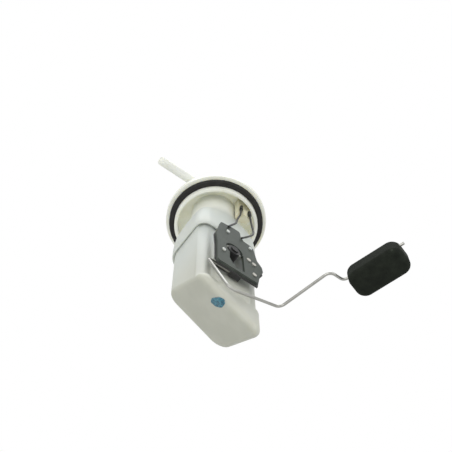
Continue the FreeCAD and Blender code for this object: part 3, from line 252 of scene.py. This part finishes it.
def drawn_steel():
    """Bright steel wire with a fine grain and small stains."""
    r = Recipe("drawn_steel")
    lines = r.noise(1, 2, 0.5, r.stretched((300, 300, 300)))
    stain = r.noise(90, 4)
    tone = r.blend(stain.between(0.45, 0.8) * 0.5, (0.46, 0.455, 0.43, 1), (0.26, 0.25, 0.225, 1))
    return r.finish(tone, 0.22 + lines * 0.16 + stain * 0.1, r.bump(lines, 0.00002, 0.4), 1.0)


def zinc_steel():
    """Zinc-plated sheet with a faint spangle and fine turning lines."""
    r = Recipe("zinc_steel")
    spangle = r.cells(420)
    lines = r.noise(1, 2, 0.5, r.stretched((40, 40, 5200)))
    tone = r.blend(spangle.between(0.0, 0.8), (0.50, 0.50, 0.50, 1), (0.62, 0.62, 0.60, 1))
    return r.finish(tone, 0.28 + lines * 0.2, r.bump(lines, 0.00002, 0.4), 1.0)


def brass():
    """Punched brass, a little tarnished."""
    r = Recipe("brass")
    tarnish = r.noise(300, 4)
    tone = r.blend(tarnish.between(0.4, 0.8), (0.74, 0.55, 0.27, 1), (0.42, 0.29, 0.13, 1))
    return r.finish(tone, 0.24 + tarnish * 0.25, r.bump(r.noise(4000, 2), 0.00002, 0.4), 1.0)


def natural_nylon():
    """Unpigmented nylon, yellowed and slightly cloudy."""
    r = Recipe("natural_nylon")
    clouds = r.noise(260, 3)
    tone = r.blend(clouds.between(0.3, 0.75), (0.76, 0.735, 0.58, 1), (0.70, 0.655, 0.46, 1))
    normal = r.bump(r.noise(2600, 2), 0.00003, 0.5)
    return r.finish(tone, 0.32 + clouds * 0.15, normal, subsurface_weight=0.15,
                    subsurface_radius=(0.9, 0.7, 0.4), subsurface_scale=0.002)


def nickel():
    """Nickel-plated rivets, pale and a little dull."""
    r = Recipe("nickel")
    dull = r.noise(700, 3)
    tone = r.blend(dull.between(0.3, 0.7), (0.66, 0.64, 0.59, 1), (0.50, 0.485, 0.45, 1))
    return r.finish(tone, 0.26 + dull * 0.2, r.bump(r.noise(4000, 2), 0.00002, 0.4), 1.0)


def ferrite():
    """Sintered ferrite, dark and matt."""
    r = Recipe("ferrite")
    specks = r.noise(3000, 4, 0.7)
    tone = r.blend(specks.between(0.4, 0.7), grey(0.03), grey(0.065))
    return r.finish(tone, 0.55 + specks * 0.2, r.bump(specks, 0.00005, 0.6))


def strainer_cloth():
    """Pale woven polyamide."""
    r = Recipe("strainer_cloth")
    x, y, _ = r.parts()
    threads = 9000
    weave = (x * threads).sine() * (y * threads).sine() * 0.5 + 0.5
    tone = r.blend(weave, grey(0.45, 0.03), grey(0.78, 0.02))
    return r.finish(tone, 0.55 + weave * 0.1, r.bump(weave, 0.0001, 0.8))


def resistor_ceramic():
    """The resistor card's blue-grey ceramic."""
    r = Recipe("resistor_ceramic")
    specks = r.noise(1200, 3)
    tone = r.blend(specks.between(0.3, 0.7), (0.16, 0.20, 0.24, 1), (0.24, 0.29, 0.33, 1))
    return r.finish(tone, 0.42 + specks * 0.15, r.bump(specks, 0.00003, 0.4))


def lead_skin():
    """The leads' smooth black insulation."""
    r = Recipe("lead_skin")
    rub = r.noise(400, 3)
    tone = r.blend(rub.between(0.4, 0.8), grey(0.010), grey(0.035))
    return r.finish(tone, 0.30 + rub * 0.2, r.bump(r.noise(900, 2), 0.00004, 0.4))


def teal_paint():
    """A dab of thin teal paint, rubbed through to the resin in streaks."""
    r = Recipe("teal_paint")
    streaks = r.noise(620, 4, 0.6)
    bare = r.noise(900, 3, 0.7, r.stretched((1, 0.5, 1))).between(0.60, 0.70)
    tone = r.blend(streaks.between(0.38, 0.62), (0.012, 0.085, 0.135, 1), (0.060, 0.235, 0.310, 1))
    tone = r.blend(bare * 0.6, tone, (0.40, 0.43, 0.38, 1))
    return r.finish(tone, 0.32 + streaks * 0.2, r.bump(streaks, 0.00005, 0.6))


def dark_steel():
    """Blackened steel for the pivot pin."""
    r = Recipe("dark_steel")
    rub = r.noise(900, 3)
    tone = r.blend(rub.between(0.4, 0.8), grey(0.030), grey(0.085))
    return r.finish(tone, 0.36 + rub * 0.2, r.bump(rub, 0.00002, 0.4), 1.0)


FINISHES = {
    "white_resin": milky_resin(),
    "black_rubber": gasket_rubber(),
    "brass_plating": brass(),
    "natural_nylon": natural_nylon(),
    "grey_resin": grey_resin(),
    "zinc_steel": zinc_steel(),
    "black_resin": black_resin(),
    "bright_steel": drawn_steel(),
    "copper_brass": brass(),
    "dark_ferrite": ferrite(),
    "strainer_cloth": strainer_cloth(),
    "resistor_ceramic": resistor_ceramic(),
    "black_foam": float_foam(),
    "black_lead": lead_skin(),
}


PLATED = {"sender_rivets": nickel(), "wiper": nickel(), "pivot_pin": dark_steel()}


def dress_nodes():
    """Gives every CAD node the finish of its material slot, or its plating."""
    for part in frame["record"]["subparts"]:
        node = frame["nodes"][part["node"]]
        finish = PLATED.get(part["node"], FINISHES[part["material_slot"]])
        if not node.material_slots:
            node.data.materials.append(finish)
        for place in node.material_slots:
            place.material = finish


dress_nodes()


def smooth_gently(mesh):
    """Smooths a mesh's shading except across its sharp edges."""
    for face in mesh.polygons:
        face.use_smooth = True
    mesh.set_sharp_from_angle(angle=SHARP_ANGLE)


def set_modifiers(piece):
    """Turns a piece's modifiers into plain mesh."""
    mesh = bpy.data.meshes.new_from_object(piece.evaluated_get(bpy.context.evaluated_depsgraph_get()))
    piece.modifiers.clear()
    piece.data = mesh
    smooth_gently(mesh)


def new_piece(name, mesh_maker, finish, body):
    """A mesh piece made with bmesh, finished and riding on a body."""
    mesh = bpy.data.meshes.new(name)
    work = bmesh.new()
    mesh_maker(work)
    bmesh.ops.recalc_face_normals(work, faces=work.faces)
    work.to_mesh(mesh)
    work.free()
    smooth_gently(mesh)
    piece = bpy.data.objects.new(name, mesh)
    bpy.context.scene.collection.objects.link(piece)
    mesh.materials.append(finish)
    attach(piece, body)
    return piece


def sole_point(x, y):
    """A point on the slanted sole's plane."""
    return Vector((x, y, -(SOLE_DEPTH + SOLE_SLOPE_RIGHT * x - SOLE_SLOPE_BACK * y)))


def reservoir_skin():
    """The reservoir node's surface, to lay thin things on."""
    node = frame["nodes"]["reservoir"]
    corners = [vertex.co.copy() for vertex in node.data.vertices]
    return BVHTree.FromPolygons(corners, [list(face.vertices) for face in node.data.polygons])


DAB_X = -8.8 * MM
DAB_Y = -17.0 * MM
DAB_RADIUS = 3.6 * MM
DAB_STRETCH = 1.6
DAB_STEPS = 28
DAB_HUB_HEIGHT = 0.00025
DAB_RINGS = [(0.3, 0.00023), (0.55, 0.0002), (0.7, 0.00015), (0.85, 0.0001), (1.0, 0.00003)]


def paint_dab(work):
    """A thin irregular dab that follows the sole and its rounded edge."""
    skin = reservoir_skin()

    def painted(x, y, height):
        """A point that stands proud of the surface nearest to the sole's plane."""
        place, normal, _, _ = skin.find_nearest(sole_point(x, y))
        return work.verts.new(place + normal * height)

    hub = painted(DAB_X, DAB_Y, DAB_HUB_HEIGHT)
    loops = []
    for share, height in DAB_RINGS:
        loop = []
        for i in range(DAB_STEPS):
            angle = 2 * math.pi * i / DAB_STEPS
            wobble = 1 + 0.05 * math.sin(3 * angle + 0.7) + 0.04 * math.sin(7 * angle)
            reach = DAB_RADIUS * share * wobble
            x = DAB_X + reach * math.cos(angle)
            y = DAB_Y + reach * DAB_STRETCH * math.sin(angle)
            loop.append(painted(x, y, height))
        loops.append(loop)
    for i in range(DAB_STEPS):
        after = (i + 1) % DAB_STEPS
        work.faces.new((hub, loops[0][i], loops[0][after]))
        for inner, outer in zip(loops, loops[1:]):
            work.faces.new((inner[i], outer[i], outer[after], inner[after]))


new_piece("paint_dab", paint_dab, teal_paint(), "module")


HOUSING_MIDDLE = Vector((-3.0 * MM, -1.5 * MM, 0))
HOUSING_LENGTH = 49 * MM
HOUSING_WIDTH = 41 * MM
CAP_WALL = 1.8 * MM
CAP_GAP = 0.1 * MM
CAP_RIM = -66 * MM
DOME_FOOT = -60 * MM
DOME_TOP = -24 * MM
DOME_STEPS = 14
RIM_LIP = 0.5 * MM
RIM_INSET = 0.35 * MM
NECK_RADIUS = 18.5 * MM
NECK_GAP = 0.3 * MM
COLLAR_DEPTH = 4 * MM
FRONT_CORNER = 7 * MM
BACK_CORNER = 10 * MM
CORNER_STEPS = 10
SIDE_STEPS = 6


def housing_ring(grow):
    """The housing's rounded section, grown outwards, as points round it."""
    half_x = HOUSING_LENGTH / 2 + grow
    half_y = HOUSING_WIDTH / 2 + grow
    corners = ((1, 1, BACK_CORNER), (-1, 1, BACK_CORNER), (-1, -1, FRONT_CORNER), (1, -1, FRONT_CORNER))
    ring = []
    for quarter, (side_x, side_y, radius) in enumerate(corners):
        round_off = radius + grow
        centre = Vector((side_x * (half_x - round_off), side_y * (half_y - round_off), 0))
        for i in range(CORNER_STEPS + 1):
            angle = math.pi / 2 * (quarter + i / CORNER_STEPS)
            ring.append(centre + round_off * Vector((math.cos(angle), math.sin(angle), 0)))
        after_x, after_y, after_radius = corners[(quarter + 1) % 4]
        far = after_radius + grow
        angle = math.pi / 2 * (quarter + 1)
        first = ring[-1]
        last = Vector((after_x * (half_x - far), after_y * (half_y - far), 0))
        last += far * Vector((math.cos(angle), math.sin(angle), 0))
        for i in range(1, SIDE_STEPS):
            ring.append(first.lerp(last, i / SIDE_STEPS))
    return ring


def domed_cap(work):
    """The housing cap: a deep skirt, a dome over the corners and a flat round the neck."""
    outside = housing_ring(CAP_WALL + CAP_GAP)
    neck = [p.normalized() * (NECK_RADIUS + NECK_GAP) for p in outside]
    collar = [p.normalized() * (NECK_RADIUS - COLLAR_DEPTH) for p in outside]
    rows = []
    for height in (CAP_RIM, CAP_RIM + RIM_LIP, DOME_FOOT):
        inset = RIM_INSET if height == CAP_RIM else 0
        level = Vector((0, 0, height))
        rows.append([HOUSING_MIDDLE + p * (1 - inset / p.length) + level for p in outside])
    for i in range(1, DOME_STEPS + 1):
        rise = math.sin(math.pi / 2 * i / DOME_STEPS)
        pull = 1 - math.cos(math.pi / 2 * i / DOME_STEPS)
        height = DOME_FOOT + (DOME_TOP - DOME_FOOT) * rise
        row = []
        for wall, inner in zip(outside, neck):
            row.append(HOUSING_MIDDLE + wall.lerp(inner, pull) + Vector((0, 0, height)))
        rows.append(row)
    rows.append([HOUSING_MIDDLE + p + Vector((0, 0, DOME_TOP)) for p in collar])
    loops = [[work.verts.new(point) for point in row] for row in rows]
    count = len(outside)
    for low, high in zip(loops, loops[1:]):
        for i in range(count):
            after = (i + 1) % count
            work.faces.new((low[i], low[after], high[after], high[i]))


def add_cap():
    """The cap's skin, given its wall inwards, in place of the plainer solid."""
    finish = FINISHES["white_resin"]
    cap = new_piece("housing_cap_dome", domed_cap, finish, "module")
    wall = cap.modifiers.new("wall", "SOLIDIFY")
    wall.thickness = CAP_WALL
    wall.offset = -1
    set_modifiers(cap)
    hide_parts("housing_cap")


add_cap()


STAKES = [(-11 * MM, -78 * MM), (8.3 * MM, -82.5 * MM), (-14.5 * MM, -108 * MM)]
STAKE_FRONT = -30.99 * MM
STAKE_REACH = 2.3 * MM
STAKE_SHRINK = 0.72
SAME_POINT = 1e-6
RIM_DROP = 2 * MM


def add_reservoir():
    """The reservoir with its hidden rim under the cap's dome and its stake heads smaller."""
    node = frame["nodes"]["reservoir"]
    mesh = node.data.copy()
    work = bmesh.new()
    work.from_mesh(mesh)
    bmesh.ops.remove_doubles(work, verts=work.verts, dist=SAME_POINT)
    for vertex in work.verts:
        if vertex.co.z > DOME_FOOT:
            vertex.co.z = DOME_FOOT - (1 - vertex.co.z / DOME_FOOT) * RIM_DROP
        if vertex.co.y < STAKE_FRONT:
            for x, z in STAKES:
                if math.hypot(vertex.co.x - x, vertex.co.z - z) < STAKE_REACH:
                    vertex.co.x = x + (vertex.co.x - x) * STAKE_SHRINK
                    vertex.co.z = z + (vertex.co.z - z) * STAKE_SHRINK
    work.to_mesh(mesh)
    work.free()
    smooth_gently(mesh)
    piece = bpy.data.objects.new("reservoir_shell", mesh)
    bpy.context.scene.collection.objects.link(piece)
    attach(piece, "module")
    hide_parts("reservoir")


add_reservoir()


SENSOR_WIDTH = 36
PICTURE_WIDTH_PX = 452
FOCAL_PX = 875
CAMERA_RIGHT = 8 * MM
CAMERA_DOWN = 3.2 * MM
CAMERA_DISTANCE = 700 * MM


def add_camera():
    """The camera at the photograph's angle: under the sole, looking up at the flange."""
    right = Vector((0.809, -0.588, 0.0))
    up = Vector((-0.524, -0.721, 0.454))
    back = right.cross(up).normalized()
    up = back.cross(right).normalized()
    data = bpy.data.cameras.new("camera")
    data.sensor_width = SENSOR_WIDTH
    data.lens = SENSOR_WIDTH * FOCAL_PX / PICTURE_WIDTH_PX
    data.clip_start = 0.05
    data.clip_end = 10
    camera = bpy.data.objects.new("camera", data)
    place = right * CAMERA_RIGHT - up * CAMERA_DOWN + back * CAMERA_DISTANCE
    turn = Matrix((right, up, back)).transposed().to_4x4()
    camera.matrix_world = Matrix.Translation(place) @ turn
    bpy.context.scene.collection.objects.link(camera)
    bpy.context.scene.camera = camera


add_camera()


def add_lamp(name, place, target, size, power, colour=(1, 1, 1)):
    """A soft square lamp that faces a target."""
    data = bpy.data.lights.new(name, "AREA")
    data.shape = "SQUARE"
    data.size = size
    data.energy = power
    data.color = colour
    lamp = bpy.data.objects.new(name, data)
    direction = Vector(place) - Vector(target)
    turn = direction.to_track_quat("Z", "Y").to_matrix().to_4x4()
    lamp.matrix_world = Matrix.Translation(Vector(place)) @ turn
    bpy.context.scene.collection.objects.link(lamp)


BODY_MIDDLE = (0.0, 0.0, -0.09)
add_lamp("lamp_left", (-0.75, -0.35, -0.55), BODY_MIDDLE, 0.6, 2.6, (1.0, 0.99, 0.97))
add_lamp("lamp_front", (0.30, -0.90, -0.35), BODY_MIDDLE, 0.7, 1.6)
add_lamp("lamp_top", (-0.2, -0.3, 0.9), BODY_MIDDLE, 0.9, 5.0, (0.97, 0.99, 1.0))


def add_surroundings():
    """A white world that the camera and glass see, and that lights more softly."""
    world = bpy.data.worlds.new("studio")
    bpy.context.scene.world = world
    world.use_nodes = True
    nodes = world.node_tree.nodes
    links = world.node_tree.links
    nodes.clear()
    path = nodes.new("ShaderNodeLightPath")
    seen = nodes.new("ShaderNodeMath")
    seen.operation = "MAXIMUM"
    links.new(path.outputs["Is Camera Ray"], seen.inputs[0])
    links.new(path.outputs["Is Transmission Ray"], seen.inputs[1])
    white = nodes.new("ShaderNodeBackground")
    white.inputs["Color"].default_value = (1, 1, 1, 1)
    white.inputs["Strength"].default_value = 1.0
    soft = nodes.new("ShaderNodeBackground")
    soft.inputs["Color"].default_value = (0.99, 1.0, 0.985, 1)
    soft.inputs["Strength"].default_value = 0.74
    mix = nodes.new("ShaderNodeMixShader")
    end = nodes.new("ShaderNodeOutputWorld")
    links.new(seen.outputs[0], mix.inputs[0])
    links.new(soft.outputs[0], mix.inputs[1])
    links.new(white.outputs[0], mix.inputs[2])
    links.new(mix.outputs[0], end.inputs[0])


add_surroundings()


FLOOR_REACH = 3.0
FLOOR_GAP = 0.001


def add_floor():
    """A pale floor under the sole, which only camera rays from above see."""
    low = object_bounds()[0][2] - FLOOR_GAP
    mesh = bpy.data.meshes.new("floor")
    sides = ((-1, -1), (1, -1), (1, 1), (-1, 1))
    corners = [(x * FLOOR_REACH, y * FLOOR_REACH, low) for x, y in sides]
    mesh.from_pydata(corners, [], [(0, 1, 2, 3)])
    floor = bpy.data.objects.new("floor", mesh)
    bpy.context.scene.collection.objects.link(floor)
    material = bpy.data.materials.new("floor_paint")
    material.use_nodes = True
    nodes = material.node_tree.nodes
    links = material.node_tree.links
    nodes.clear()
    path = nodes.new("ShaderNodeLightPath")
    side = nodes.new("ShaderNodeNewGeometry")
    above = nodes.new("ShaderNodeMath")
    above.operation = "SUBTRACT"
    above.inputs[0].default_value = 1
    links.new(side.outputs["Backfacing"], above.inputs[1])
    seen = nodes.new("ShaderNodeMath")
    seen.operation = "MULTIPLY"
    links.new(path.outputs["Is Camera Ray"], seen.inputs[0])
    links.new(above.outputs[0], seen.inputs[1])
    clear = nodes.new("ShaderNodeBsdfTransparent")
    paint = nodes.new("ShaderNodeBsdfDiffuse")
    paint.inputs["Color"].default_value = (0.86, 0.86, 0.86, 1)
    mix = nodes.new("ShaderNodeMixShader")
    end = nodes.new("ShaderNodeOutputMaterial")
    links.new(seen.outputs[0], mix.inputs[0])
    links.new(clear.outputs[0], mix.inputs[1])
    links.new(paint.outputs[0], mix.inputs[2])
    links.new(mix.outputs[0], end.inputs[0])
    mesh.materials.append(material)


add_floor()

bpy.context.scene.view_settings.view_transform = "Standard"
